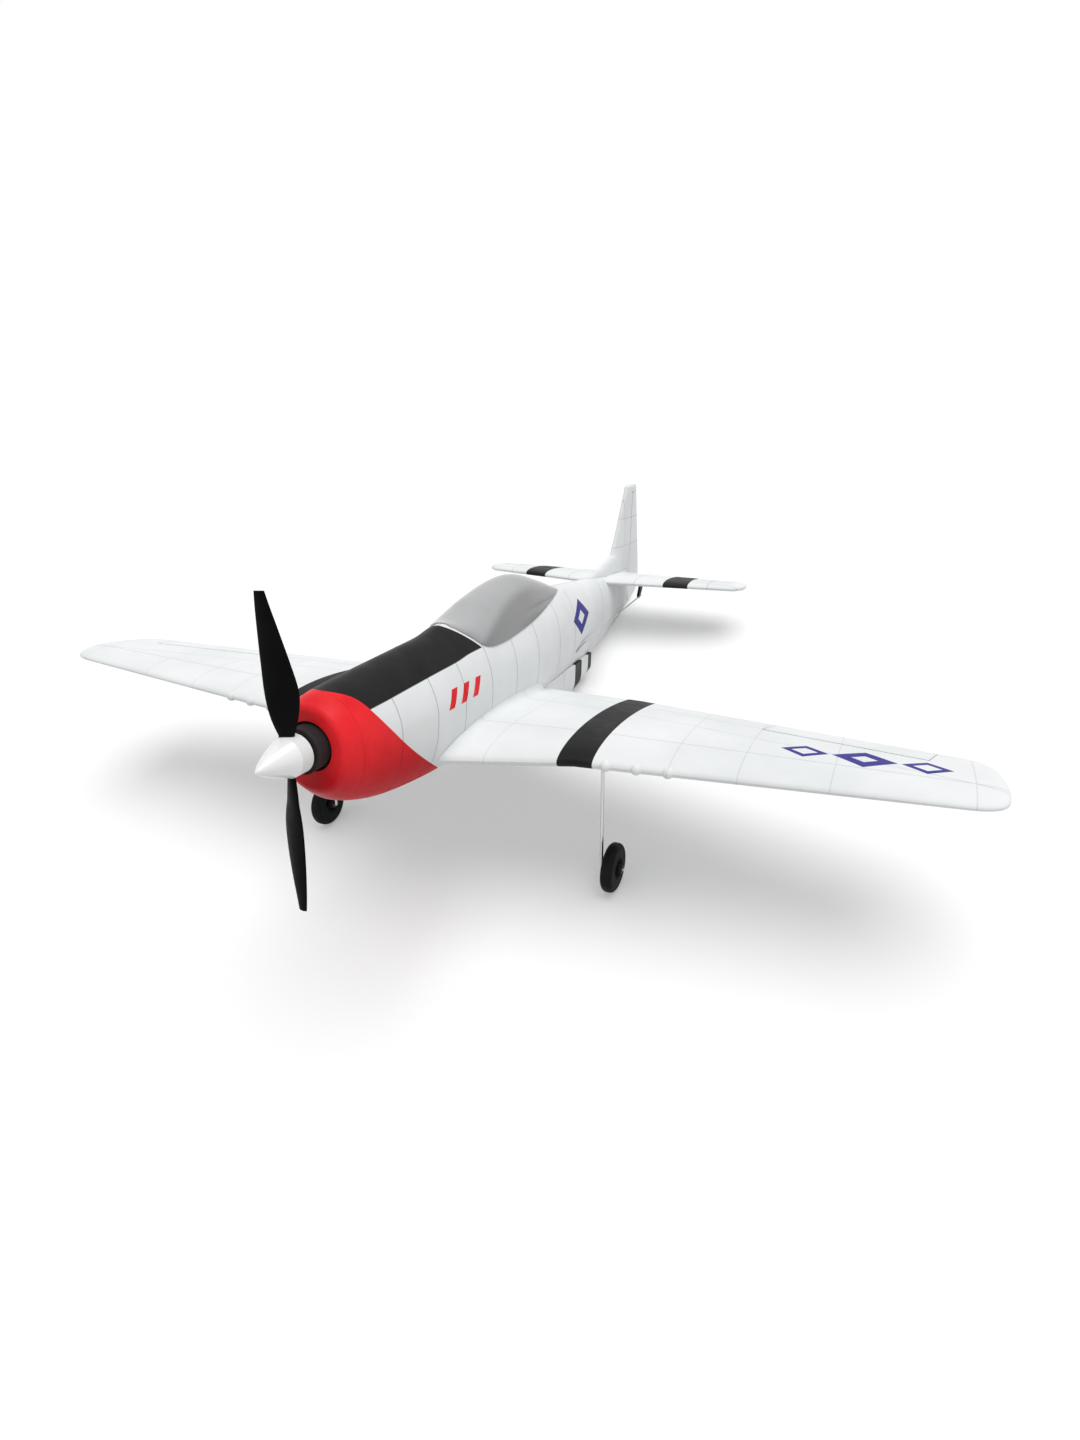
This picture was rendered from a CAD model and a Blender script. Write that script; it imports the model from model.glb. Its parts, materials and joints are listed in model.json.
"""Looks of the foam radio-control aeroplane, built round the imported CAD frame.

Shapes are worked out in the level frame of the aeroplane, in millimetres: X to port, Y aft from the
spinner tip and Z up from the thrust line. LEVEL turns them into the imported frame, in metres.
"""
import json
import math

import bpy
import numpy as np
from mathutils import Matrix, Vector


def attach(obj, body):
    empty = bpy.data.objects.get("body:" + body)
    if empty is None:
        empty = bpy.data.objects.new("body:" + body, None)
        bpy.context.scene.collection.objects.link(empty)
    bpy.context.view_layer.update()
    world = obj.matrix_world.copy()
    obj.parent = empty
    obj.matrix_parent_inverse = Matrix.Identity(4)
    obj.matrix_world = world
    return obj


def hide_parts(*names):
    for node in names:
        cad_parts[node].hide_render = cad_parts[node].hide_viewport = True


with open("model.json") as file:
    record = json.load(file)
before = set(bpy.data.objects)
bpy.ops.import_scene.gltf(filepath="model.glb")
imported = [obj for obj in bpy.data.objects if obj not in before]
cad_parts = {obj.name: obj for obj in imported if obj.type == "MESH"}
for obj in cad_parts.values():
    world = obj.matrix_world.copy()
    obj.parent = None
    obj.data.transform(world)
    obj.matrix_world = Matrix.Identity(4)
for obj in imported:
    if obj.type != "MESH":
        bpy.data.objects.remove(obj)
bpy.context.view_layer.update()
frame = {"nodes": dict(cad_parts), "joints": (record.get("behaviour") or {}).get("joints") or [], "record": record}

# Level frame, from the propeller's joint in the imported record
SPIN_STATION = 20.0
MM = 0.001
spin = next(j for j in frame["joints"] if j["name"] == "propeller_spin")
port = Vector((1, 0, 0))
aft = Vector(spin["axis"])
up = port.cross(aft)
nose_tip = Vector(spin["pos_m"]) - aft * SPIN_STATION * MM
level_turn = Matrix((port, aft, up)).transposed().to_4x4()
LEVEL = Matrix.Translation(nose_tip) @ level_turn @ Matrix.Scale(MM, 4)
HERE = Matrix.Identity(4)
MIRROR = Matrix.Scale(-1, 4, (1, 0, 0))

# Wing
HALF_SPAN = 200.0
WING_LE_Y = 84.0
ROOT_CHORD = 98.0
TIP_CHORD = 41.0
LE_SWEEP = 12.0
WING_Z = -20.0
DIHEDRAL = math.radians(2.4)
ROOT_THICK = 12.0
TIP_THICK = 5.0
TE_THICK = 0.8
CAMBER = 0.015
GLOVE_LEN = 9.0
GLOVE_SPAN = 62.0
GLOVE_DROP = 2.6
TIP_ROUND = 14.0
TIP_POWER = 3.0
TIP_SHIFT = 0.3
TIP_THINNING = 0.8
GUN_X = 74.0
GUN_PITCH = 11.0
GUN_D = 4.0
GUN_PROUD = 1.25
GUN_LEN = 8.0
# Root fillet: distance from the chord's ends, radius, and reach into the wing and the fuselage
FILLET_FRONT = 6.0
FILLET_REAR = 5.0
FILLET_R = 0.8
FILLET_R_GROWTH = 7.2
FILLET_SINK = 0.8
FILLET_INSET = 3.0
AILERON_IN = 119.0
AILERON_OUT = 177.0
AILERON_CHORD = 15.0
AILERON_NOSE_R = 1.7
# Bay of the aileron's servo, from the inner end of the hinge
SERVO_BAY_LOW = (6.85, -24.9, -25.0)
SERVO_BAY_HIGH = (21.05, -8.7, 1.1)

# Fuselage, canopy and scoop
NOSE_Y = 24.0
NOSE_RING_LEN = 7.0
NOSE_ROUND = 1.4
WINDSCREEN_Y = 105.0
TAIL_Y = 326.0
FUS_HALF_W = 16.8
DECK_Z = 23.0
WALL = 3.0
NOSE_BORE_R = 8.2
CORE_END_Y = 288.0
REST_Y = 316.0
HATCH_Y = 50.5
HATCH_W = 19.0
HATCH_END_Y = WING_LE_Y - GLOVE_LEN - 3.0
HATCH_LOW_Z = -33.0
HATCH_ROOF_Z = -14.0
CANOPY_TOP_Z = 34.5
CANOPY_LEN = 103.0
CANOPY_PROUD = 0.5
CANOPY_WALL = 1.0
SCOOP_Y = 158.0
SCOOP_LEN = 92.0
SCOOP_HALF_W = 11.0
SCOOP_Z = -38.0
SCOOP_WALL = 2.0
SCOOP_ROOF_Z = -20.0
SCOOP_WAIST_Z = -26.0
SCOOP_MOUTH_LEN = 22.0
SCOOP_MOUTH_ROOF_Z = -27.6

# Tail
STAB_HALF = 79.0
STAB_LE_Y = 280.0
STAB_ROOT_CHORD = 40.0
STAB_TIP_CHORD = 25.0
STAB_ROOT_THICK = 4.4
STAB_TIP_THICK = 3.6
STAB_Z = 13.4
STAB_TIP_ROUND = 7.0
STAB_TIP_SHIFT = 0.4
STAB_TIP_THINNING = 0.7
ELEVATOR_CHORD = 15.0
STAB_HINGE_Y = STAB_LE_Y + STAB_ROOT_CHORD - ELEVATOR_CHORD
ELEVATOR_IN = 7.5
ELEVATOR_OUT = 71.0
ELEVATOR_NOSE_R = 1.2
FIN_TOP_Z = 65.0
FIN_THICK = 4.8
FIN_TAPER = 1.4
FIN_TOP_ROUND = 1.6
FIN_FOOT_Z = -7.8
FIN_CAP = 4.6
RUDDER_HINGE_Y = 331.0
RUDDER_FOOT_CHORD = 26.0
RUDDER_TOP_CHORD = 10.0
RUDDER_NOSE_R = 1.25
RUDDER_FOOT_Z = -5.0
POST_THICK = 3.0
POST_TOP_Z = 18.2
# Pushrods that leave the fuselage, from servo arm to horn
ELEVATOR_ROD = ((7.35, 195.0, -16.0), (18.35, STAB_HINGE_Y, STAB_Z - 10))
RUDDER_ROD = ((-4.5, 172.0, 4.35), (-10.0, RUDDER_HINGE_Y, 4.35))

# Drive and landing gear
PROP_D = 100.0
PROP_PITCH = 53.0
BLADE_CHORD = 10.2
BLADE_RAKE = 3.6
BLADE_THICK = 2.2
BLADE_THINNING = 1.5
BLADE_CAMBER = 0.05
BLADE_MAX_PITCH = math.radians(30)
BLADE_SEAT = 2.1
PROP_ANGLE = math.radians(-3)
SPINNER_LEN = 13.0
SPINNER_D = 12.75
SPINNER_POWER = 0.72
HUB_LEN = 5.4
SHAFT_D = 2.0
LEG_X = 65.1
LEG_SET_BACK = 24.0
LEG_TOP_RISE = 1.5
LEG_BEND_R = 0.75
# Bay of the leg's socket, about the leg's top in the wing's plane
SOCKET_BAY_LOW = (-3.6, -2.8, -5.3)
SOCKET_BAY_HIGH = (3.6, 6.4, 2.8)
AXLE_Y = 116.5
AXLE_Z = -71.3
WIRE_D = 1.4
WHEEL_D = 20.2
TYRE_W = 5.0
WHEEL_W = 5.4
WHEEL_X0 = 67.3
WHEEL_HUB_D = 8.0
AXLE_END_X = 74.5

# Clearances
SEAT_GAP = 0.1
SWING_GAP = 0.35
RUN_GAP = 0.06
LIP = 1.2
PIN_D = 1.0
TORQUE_D = 1.6
EXIT_D = 4.2
BIG = 500.0
CREASE = math.radians(32)

# Sections as rows that start with the station, height or share of the radius
# station, top, bottom, half width, height of the widest point, squareness below and above it
FUSELAGE = [
    (NOSE_Y, 12.6, -15, 12.8, -1, 2.1, 2.1),
    (NOSE_Y + NOSE_RING_LEN, 15.9, -20.6, 15, -1.4, 2.2, 2),
    (50, 18.1, -26.8, 16.2, -2, 2.2, 1.8),
    (78, 20, -30.6, FUS_HALF_W, -2.5, 2.2, 1.75),
    (WINDSCREEN_Y - 10, DECK_Z - 1.8, -31, FUS_HALF_W, -2.6, 2.3, 1.75),
    (WINDSCREEN_Y, DECK_Z, -30.8, FUS_HALF_W, -2.8, 2.3, 1.75),
    (150, 21, -29.2, FUS_HALF_W - 0.2, -3, 2.3, 2),
    (185, 21.6, -27.6, 15, -3, 2.3, 2.1),
    (215, 21.2, -26.6, 12.8, -2.5, 2.2, 2.1),
    (250, 18.8, -25.4, 10.2, -2, 2.1, 2.1),
    (280, 17, -21, 7.6, -1, 2.1, 2.1),
    (300, 16.4, -17, 5.8, 0, 2, 2),
    (REST_Y, 16.2, -13, 4.4, 1.4, 2, 2),
    (TAIL_Y, 16, -8.6, 3.4, 3, 2, 2),
]
# station, height of the edge, height of the crown
CANOPY = [
    (WINDSCREEN_Y, DECK_Z - 0.9, DECK_Z + 0.4),
    (WINDSCREEN_Y + 0.05 * CANOPY_LEN, DECK_Z - 5, DECK_Z + 0.5),
    (WINDSCREEN_Y + 0.12 * CANOPY_LEN, DECK_Z - 10, DECK_Z + 2.4),
    (WINDSCREEN_Y + 0.24 * CANOPY_LEN, DECK_Z - 11.3, CANOPY_TOP_Z - 5),
    (WINDSCREEN_Y + 0.44 * CANOPY_LEN, DECK_Z - 10.2, CANOPY_TOP_Z - 0.9),
    (WINDSCREEN_Y + 0.6 * CANOPY_LEN, DECK_Z - 8.6, CANOPY_TOP_Z - 0.9),
    (WINDSCREEN_Y + 0.82 * CANOPY_LEN, DECK_Z - 5.4, CANOPY_TOP_Z - 6.6),
    (WINDSCREEN_Y + CANOPY_LEN, DECK_Z - 2.8, DECK_Z - 1),
]
# station, bottom, half width
SCOOP = [
    (SCOOP_Y, SCOOP_Z + 4.5, SCOOP_HALF_W),
    (SCOOP_Y + 20, SCOOP_Z + 1.6, SCOOP_HALF_W + 1),
    (SCOOP_Y + 48, SCOOP_Z, SCOOP_HALF_W + 0.6),
    (SCOOP_Y + 68, SCOOP_Z + 1.4, SCOOP_HALF_W - 0.6),
    (SCOOP_Y + SCOOP_LEN, SCOOP_Z + 6.6, SCOOP_HALF_W - 2.4),
]
# height, station of the leading edge
FIN_EDGE = [(FIN_FOOT_Z, 300), (16, 252), (18.4, 264), (21, 279), (26, 300), (40, 309), (FIN_TOP_Z, 323)]
# radius share, chord share, place of the leading edge in chords ahead of the blade axis
BLADE = [
    (0.12, 0.42, 0.5),
    (0.24, 0.78, 0.46),
    (0.4, 1, 0.42),
    (0.6, 0.86, 0.44),
    (0.8, 0.62, 0.5),
    (0.94, 0.42, 0.58),
    (1, 0.33, 0.62),
]


# Curves and sections

def curve(t, keys, k):
    """Smooth value of column k at t, in rows that start with their place."""
    i = 0
    while i < len(keys) - 2 and t >= keys[i + 1][0]:
        i += 1

    def rise(a, b):
        return (keys[b][k] - keys[a][k]) / (keys[b][0] - keys[a][0])

    def tangent(j):
        return rise(max(j - 1, 0), min(j + 1, len(keys) - 1))

    h = keys[i + 1][0] - keys[i][0]
    s = (t - keys[i][0]) / h
    q = 1 - s
    return ((1 + 2 * s) * q * q * keys[i][k] + s * q * q * h * tangent(i)
            + s * s * (3 - 2 * s) * keys[i + 1][k] - s * s * q * h * tangent(i + 1))


def steps(a, b, step):
    """Even stations from a to b, at most step apart."""
    return np.linspace(a, b, max(2, math.ceil((b - a) / step) + 1))


def bend(v, power):
    """Sine or cosine bent for a superellipse of the given power."""
    return math.copysign(abs(v) ** (2 / power), v)


def fuselage_ring(y, grow=0.0, n=96):
    top, bottom, width, mid = (curve(y, FUSELAGE, k) for k in (1, 2, 3, 4))
    ring = []
    for j in range(n):
        a = math.tau * j / n
        power = curve(y, FUSELAGE, 6 if a < math.pi else 5)
        s = bend(math.sin(a), power)
        reach = top + grow - mid if s > 0 else mid - bottom + grow
        ring.append(((width + grow) * bend(math.cos(a), power), y, mid + s * reach))
    return ring


def fuselage_x(y, z):
    """Half width of the fuselage at a station and a height."""
    mid = curve(y, FUSELAGE, 4)
    reach = curve(y, FUSELAGE, 1) - mid if z > mid else mid - curve(y, FUSELAGE, 2)
    power = curve(y, FUSELAGE, 6 if z > mid else 5)
    k = min(1.0, abs(z - mid) / reach)
    return curve(y, FUSELAGE, 3) * (1 - k ** power) ** (1 / power)


def canopy_ring(y, inset=0.0, n=48):
    edge, crown = curve(y, CANOPY, 1), curve(y, CANOPY, 2)
    width = fuselage_x(y, edge) + CANOPY_PROUD - inset
    height = crown - edge - inset
    angles = [math.pi * j / n for j in range(n + 1)]
    return [(width * math.cos(a), y, edge + height * math.sin(a)) for a in angles]


def scoop_ring(y, inset, roof, n=36):
    floor = curve(y, SCOOP, 1) + inset
    width = curve(y, SCOOP, 2) - inset
    depth = floor - SCOOP_WAIST_Z
    ring = [(width, y, roof), (-width, y, roof)]
    for j in range(n + 1):
        a = math.pi * (1 + j / n)
        ring.append((width * bend(math.cos(a), 3), y, SCOOP_WAIST_Z - depth * bend(math.sin(a), 3)))
    return ring


def foil(u, thick):
    """Half thickness of a symmetrical foil at chord share u."""
    shape = 0.2969 * math.sqrt(u) - 0.126 * u - 0.3516 * u * u + 0.2843 * u ** 3 - 0.1036 * u ** 4
    return 5 * thick * shape + TE_THICK / 2 * u


def arc(start, corner, stop, n):
    """n points of a smooth bend from start to stop, round the inside of a corner."""
    return [start.lerp(corner, t).lerp(corner.lerp(stop, t), t) for t in np.linspace(0, 1, n)]


def foil_shares(n):
    """Chord share and side, from the lower trailing edge round the nose to the upper one."""
    return [((1 + math.cos(math.pi * k / n)) / 2, -1 if k < n else 1) for k in range(2 * n + 1)]


def wing_le(x):
    return WING_LE_Y + LE_SWEEP * x / HALF_SPAN - GLOVE_LEN * max(0.0, 1 - x / GLOVE_SPAN)


def wing_te(x):
    tip = WING_LE_Y + LE_SWEEP + TIP_CHORD
    return WING_LE_Y + ROOT_CHORD + (tip - WING_LE_Y - ROOT_CHORD) * x / HALF_SPAN


def wing_plane(x):
    return WING_Z + math.tan(DIHEDRAL) * x - GLOVE_DROP * max(0.0, 1 - x / GLOVE_SPAN)


def camber(u, chord):
    return 4 * CAMBER * chord * u * (1 - u)


def wing_thick(x):
    return ROOT_THICK + (TIP_THICK - ROOT_THICK) * x / HALF_SPAN


def wing_ring(x, grow=0.0, n=28):
    k = max(0.0, (x - HALF_SPAN + TIP_ROUND) / TIP_ROUND)
    fade = (1 - k ** TIP_POWER) ** (1 / TIP_POWER)
    chord = wing_te(x) - wing_le(x)
    le = wing_le(x) + TIP_SHIFT * chord * (1 - fade) - grow
    chord = chord * fade + 2 * grow
    thick = wing_thick(x) * fade ** TIP_THINNING + 2 * grow
    return [(x, le + u * chord, wing_plane(x) + camber(u, chord) + side * foil(u, thick))
            for u, side in foil_shares(n)]


def stab_ring(x, grow=0.0, n=20):
    s = min(1.0, abs(x) / STAB_HALF)
    k = max(0.0, (abs(x) - STAB_HALF + STAB_TIP_ROUND) / STAB_TIP_ROUND)
    fade = math.sqrt(1 - k * k)
    chord = STAB_ROOT_CHORD + (STAB_TIP_CHORD - STAB_ROOT_CHORD) * s
    le = STAB_LE_Y + STAB_ROOT_CHORD - chord + STAB_TIP_SHIFT * chord * (1 - fade) - grow
    thick = STAB_ROOT_THICK + (STAB_TIP_THICK - STAB_ROOT_THICK) * s
    thick = thick * fade ** STAB_TIP_THINNING + 2 * grow
    chord = chord * fade + 2 * grow
    return [(x, le + u * chord, STAB_Z + side * foil(u, thick)) for u, side in foil_shares(n)]


def fin_ring(z, n=20):
    near_top = max(0.0, z - FIN_TOP_Z + FIN_TOP_ROUND) / FIN_TOP_ROUND
    le = float(np.interp(z, *zip(*FIN_EDGE))) + 2.5 * near_top ** 2
    taper = RUDDER_TOP_CHORD - RUDDER_FOOT_CHORD
    te = RUDDER_HINGE_Y + RUDDER_FOOT_CHORD + taper * max(0.0, z) / FIN_TOP_Z - 1.2 * near_top ** 2
    thick = (FIN_THICK - FIN_TAPER * max(0.0, z) / FIN_TOP_Z) * (1 - 0.55 * near_top ** 2)
    return [(-side * foil(u, thick), le + u * (te - le), z) for u, side in foil_shares(n)]


def blade_ring(s, n=20):
    radius = s * PROP_D / 2
    chord = BLADE_CHORD * curve(s, BLADE, 1)
    lead = curve(s, BLADE, 2)
    pitch = min(BLADE_MAX_PITCH, math.atan(PROP_PITCH / (math.tau * radius)))
    thick = BLADE_THICK - BLADE_THINNING * s
    ring = []
    for k in range(2 * n):
        a = -math.pi * k / n
        u = (1 - math.cos(a)) / 2
        v = thick / 2 * math.sin(a) + 4 * BLADE_CAMBER * chord * u * (1 - u)
        w = (u - lead) * chord
        ring.append((w * math.cos(pitch) + v * math.sin(pitch),
                     w * math.sin(pitch) - v * math.cos(pitch) - BLADE_RAKE * s, radius))
    return ring


# Solids

def new_object(name, data):
    obj = bpy.data.objects.new(name, data)
    bpy.context.scene.collection.objects.link(obj)
    return obj


def solid(name, points, faces, place=HERE):
    """A new object with points in level millimetres, moved by place first."""
    mesh = bpy.data.meshes.new(name)
    mesh.from_pydata([LEVEL @ place @ Vector(p) for p in points], [], faces)
    return new_object(name, mesh)


def loft(name, rings, place=HERE):
    n, m = len(rings[0]), len(rings)
    faces = [tuple(range(n - 1, -1, -1)), tuple(range((m - 1) * n, m * n))]
    for i in range(m - 1):
        for j in range(n):
            k = (j + 1) % n
            faces.append((i * n + j, i * n + k, (i + 1) * n + k, (i + 1) * n + j))
    return outward(solid(name, [p for r in rings for p in r], faces, place))


def prism(name, outline, length, place):
    """The outline in local Y and Z, drawn out along local X from the origin."""
    return loft(name, [[(x, a, b) for a, b in outline] for x in (0.0, length)], place)


def block(name, low, high, place=HERE):
    (x0, y0, z0), (x1, y1, z1) = low, high
    outline = [(y0, z0), (y1, z0), (y1, z1), (y0, z1)]
    return prism(name, outline, x1 - x0, place @ Matrix.Translation((x0, 0, 0)))


def rod(name, a, b, d, n=32):
    a, b = Vector(a), Vector(b)
    turn = (b - a).to_track_quat("X", "Z").to_matrix().to_4x4()
    angles = [math.tau * k / n for k in range(n)]
    outline = [(d / 2 * math.cos(t), d / 2 * math.sin(t)) for t in angles]
    return prism(name, outline, (b - a).length, Matrix.Translation(a) @ turn)


def lathe(name, profile, place, n=64):
    """Profile of radius and place along local X, turned about local X.

    A profile that starts on the axis gives a solid, and any other a ring."""
    closed = profile[0][0] > 0
    points, rows = [], []
    for r, x in profile:
        count = n if r > 0 else 1
        rows.append(range(len(points), len(points) + count))
        for k in range(count):
            a = math.tau * k / count
            points.append((x, r * math.cos(a), r * math.sin(a)))
    faces = []
    for one, two in zip(rows, rows[1:] + rows[:1] if closed else rows[1:]):
        for k in range(n):
            near = [one[k % len(one)], one[(k + 1) % len(one)]]
            far = [two[(k + 1) % len(two)], two[k % len(two)]]
            faces.append(tuple(dict.fromkeys(near + far)))
    return outward(solid(name, points, faces, place))


def outward(obj):
    """Turns the faces outwards if the volume comes out negative."""
    obj.data.calc_loop_triangles()
    co = np.array([v.co for v in obj.data.vertices])
    tri = np.array([t.vertices[:] for t in obj.data.loop_triangles])
    a, b, c = co[tri[:, 0]], co[tri[:, 1]], co[tri[:, 2]]
    if np.einsum("ij,ij->i", a, np.cross(b, c)).sum() < 0:
        obj.data.flip_normals()
    return obj


def carve(obj, *tools, operation="DIFFERENCE"):
    """Applies each tool to the object in turn and removes the tool."""
    for tool in tools:
        step = obj.modifiers.new("carve", "BOOLEAN")
        step.operation = operation
        step.solver = "MANIFOLD"
        step.object = tool
        done = bpy.data.meshes.new_from_object(obj.evaluated_get(bpy.context.evaluated_depsgraph_get()))
        obj.modifiers.clear()
        obj.data = done
        bpy.data.objects.remove(tool)
    return obj


def flank(side):
    """Turns a port shape into the one for its side: 1 for port, -1 for starboard."""
    return HERE if side > 0 else MIRROR


def sided(side, name):
    return ("left_" if side > 0 else "right_") + name


def piece(obj, name, body, material, node):
    """Finishes a piece: its name, material, shading, body, slot and the CAD node it stands for."""
    obj.name = name
    obj.data.materials.clear()
    obj.data.materials.append(MATERIALS[material])
    obj.data.shade_smooth()
    obj.data.set_sharp_from_angle(angle=CREASE)
    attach(obj, body)
    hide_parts(node)
    return obj


def fuselage_solid(y0, y1, grow=0.0):
    return loft("fuselage_solid", [fuselage_ring(y, grow) for y in steps(y0, y1, 3.0)])


def wing_solid(grow=0.0, place=HERE, x_low=0.0):
    shares = [math.sin(math.pi / 2 * k / 14) for k in range(14)] + [0.998]
    tip = [HALF_SPAN - TIP_ROUND * (1 - s) for s in shares]
    stations = [x_low, *np.linspace(8, GLOVE_SPAN, 8), *np.linspace(80, 170, 6), *tip]
    return loft("wing_solid", [wing_ring(x, grow) for x in stations], place)


def wing_slots():
    """Both wing panels with their gap, across the middle."""
    return [wing_solid(SEAT_GAP, flank(side), x_low=-1.0) for side in (1, -1)]


def stab_solid(grow=0.0):
    tip = [STAB_HALF - STAB_TIP_ROUND * (1 - math.sin(math.pi / 2 * k / 10)) for k in range(10)]
    side = [*np.linspace(12, 60, 4), *tip]
    return loft("stab_solid", [stab_ring(x, grow) for x in [-x for x in side[::-1]] + [0.0] + side])


def fin_solid():
    heights = [FIN_FOOT_Z, *np.linspace(16, 26, 24), *np.linspace(28, FIN_TOP_Z - 1.8, 14)]
    crown = [FIN_TOP_Z - FIN_TOP_ROUND * (1 - k / 8) for k in range(9)]
    return loft("fin_solid", [fin_ring(z) for z in heights + crown])


# Hinges

def hinge_frame():
    """The port aileron's hinge, with X outwards along it, Y aft and Z up, and its length."""
    def point(x):
        chord = wing_te(x) - wing_le(x)
        u = 1 - AILERON_CHORD / chord
        return Vector((x, wing_te(x) - AILERON_CHORD, wing_plane(x) + camber(u, chord)))

    inner, outer = point(AILERON_IN), point(AILERON_OUT)
    ex = (outer - inner).normalized()
    ez = ex.cross(Vector((0, 1, 0))).normalized()
    ey = ez.cross(ex)
    turn = Matrix((ex, ey, ez)).transposed().to_4x4()
    return Matrix.Translation((inner + outer) / 2) @ turn, (outer - inner).length


HINGE, HINGE_LEN = hinge_frame()


def bay(nose_r, lip, x0, x1, place):
    """Round nose about the hinge and all that lies behind a line lip ahead of it."""
    reach, half = 60.0, 20.0
    start = math.acos(min(1.0, lip / nose_r))
    angles = [math.pi + start - 2 * start * k / 16 for k in range(17)]
    nose = [(nose_r * math.cos(a), nose_r * math.sin(a)) for a in angles]
    outline = [(reach, -half), (-lip, -half), *nose, (-lip, half), (reach, half)]
    return prism("bay", outline, x1 - x0, place @ Matrix.Translation((x0, 0, 0)))


def ground_cut():
    """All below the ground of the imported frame, where the tail's underside is worn flat."""
    packed = LEVEL.inverted() @ Matrix.Scale(MM, 4)
    return block("ground", (-BIG / 2, -BIG / 2, -BIG), (BIG / 2, BIG / 2, 0), packed)


# Materials

class Paint:
    """One procedural material, built from small node expressions in level millimetres."""

    def __init__(self, name):
        self.material = bpy.data.materials.new(name)
        self.material.use_nodes = True
        self.tree = self.material.node_tree
        self.shader = self.tree.nodes["Principled BSDF"]
        place = self.tree.nodes.new("ShaderNodeMapping")
        location, turn, size = LEVEL.inverted().decompose()
        place.inputs["Location"].default_value = location
        place.inputs["Rotation"].default_value = turn.to_euler()
        place.inputs["Scale"].default_value = size
        where = self.tree.nodes.new("ShaderNodeTexCoord")
        self.join(where.outputs["Object"], place.inputs["Vector"])
        self.level = place.outputs["Vector"]
        split = self.tree.nodes.new("ShaderNodeSeparateXYZ")
        self.join(self.level, split.inputs["Vector"])
        self.x, self.y, self.z = split.outputs
        self.half = self.math("ABSOLUTE", self.x)

    def join(self, value, socket):
        if isinstance(value, bpy.types.NodeSocket):
            self.tree.links.new(value, socket)
        else:
            socket.default_value = value

    def math(self, operation, a, b=0.0, c=0.0):
        node = self.tree.nodes.new("ShaderNodeMath")
        node.operation = operation
        for value, socket in zip((a, b, c), node.inputs):
            self.join(value, socket)
        return node.outputs[0]

    def add(self, *values):
        total = values[0]
        for value in values[1:]:
            total = self.math("ADD", total, value)
        return total

    def times(self, *values):
        total = values[0]
        for value in values[1:]:
            total = self.math("MULTIPLY", total, value)
        return total

    def off(self, a, b):
        """Distance between two values."""
        return self.math("ABSOLUTE", self.math("SUBTRACT", a, b))

    def below(self, value, edge, soft=0.12):
        """1 where value lies under edge, 0 above it, with a narrow soft step."""
        node = self.tree.nodes.new("ShaderNodeMapRange")
        node.interpolation_type = "SMOOTHSTEP"
        self.join(self.math("SUBTRACT", value, edge), node.inputs["Value"])
        node.inputs["From Min"].default_value = -soft
        node.inputs["From Max"].default_value = soft
        node.inputs["To Min"].default_value = 1
        node.inputs["To Max"].default_value = 0
        return node.outputs["Result"]

    def above(self, value, edge, soft=0.12):
        return self.math("SUBTRACT", 1.0, self.below(value, edge, soft))

    def band(self, value, low, high, soft=0.12):
        return self.times(self.above(value, low, soft), self.below(value, high, soft))

    def either(self, *masks):
        total = masks[0]
        for mask in masks[1:]:
            total = self.math("MAXIMUM", total, mask)
        return total

    def lines(self, value, places, width=0.3):
        """Fine lines where value comes to one of the places."""
        return self.either(*[self.below(self.off(value, place), width / 2, 0.1) for place in places])

    def stretched(self, *scale):
        """The place in the level frame, scaled along each axis."""
        node = self.tree.nodes.new("ShaderNodeMapping")
        node.inputs["Scale"].default_value = scale
        self.join(self.level, node.inputs["Vector"])
        return node.outputs["Vector"]

    def noise(self, scale, detail=3.0, roughness=0.55, vector=None):
        node = self.tree.nodes.new("ShaderNodeTexNoise")
        self.join(vector or self.level, node.inputs["Vector"])
        node.inputs["Scale"].default_value = scale
        node.inputs["Detail"].default_value = detail
        node.inputs["Roughness"].default_value = roughness
        return node.outputs["Fac"]

    def cells(self, scale, feature="F1"):
        node = self.tree.nodes.new("ShaderNodeTexVoronoi")
        node.feature = feature
        self.join(self.level, node.inputs["Vector"])
        node.inputs["Scale"].default_value = scale
        return node.outputs["Distance"]

    def mix(self, mask, one, two):
        """Colour one where mask is 0 and colour two where it is 1."""
        node = self.tree.nodes.new("ShaderNodeMix")
        node.data_type = "RGBA"
        self.join(mask, node.inputs[0])
        for value, socket in ((one, node.inputs[6]), (two, node.inputs[7])):
            self.join((*value, 1) if isinstance(value, tuple) else value, socket)
        return node.outputs[2]

    def spread(self, value, low, high):
        """A noise value between 0.3 and 0.7 spread to low and high."""
        node = self.tree.nodes.new("ShaderNodeMapRange")
        self.join(value, node.inputs["Value"])
        node.inputs["From Min"].default_value = 0.3
        node.inputs["From Max"].default_value = 0.7
        node.inputs["To Min"].default_value = low
        node.inputs["To Max"].default_value = high
        return node.outputs["Result"]

    def finish(self, colour, rough, height=None, depth=0.1, **sockets):
        """Colour, roughness, a bump of depth millimetres, and even values for other sockets."""
        self.join(colour, self.shader.inputs["Base Color"])
        self.join(rough, self.shader.inputs["Roughness"])
        if height is not None:
            bump = self.tree.nodes.new("ShaderNodeBump")
            bump.inputs["Strength"].default_value = 0.6
            bump.inputs["Distance"].default_value = depth * MM
            self.join(height, bump.inputs["Height"])
            self.join(bump.outputs["Normal"], self.shader.inputs["Normal"])
        for name, value in sockets.items():
            self.shader.inputs[name.replace("_", " ")].default_value = value
        return self.material


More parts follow.
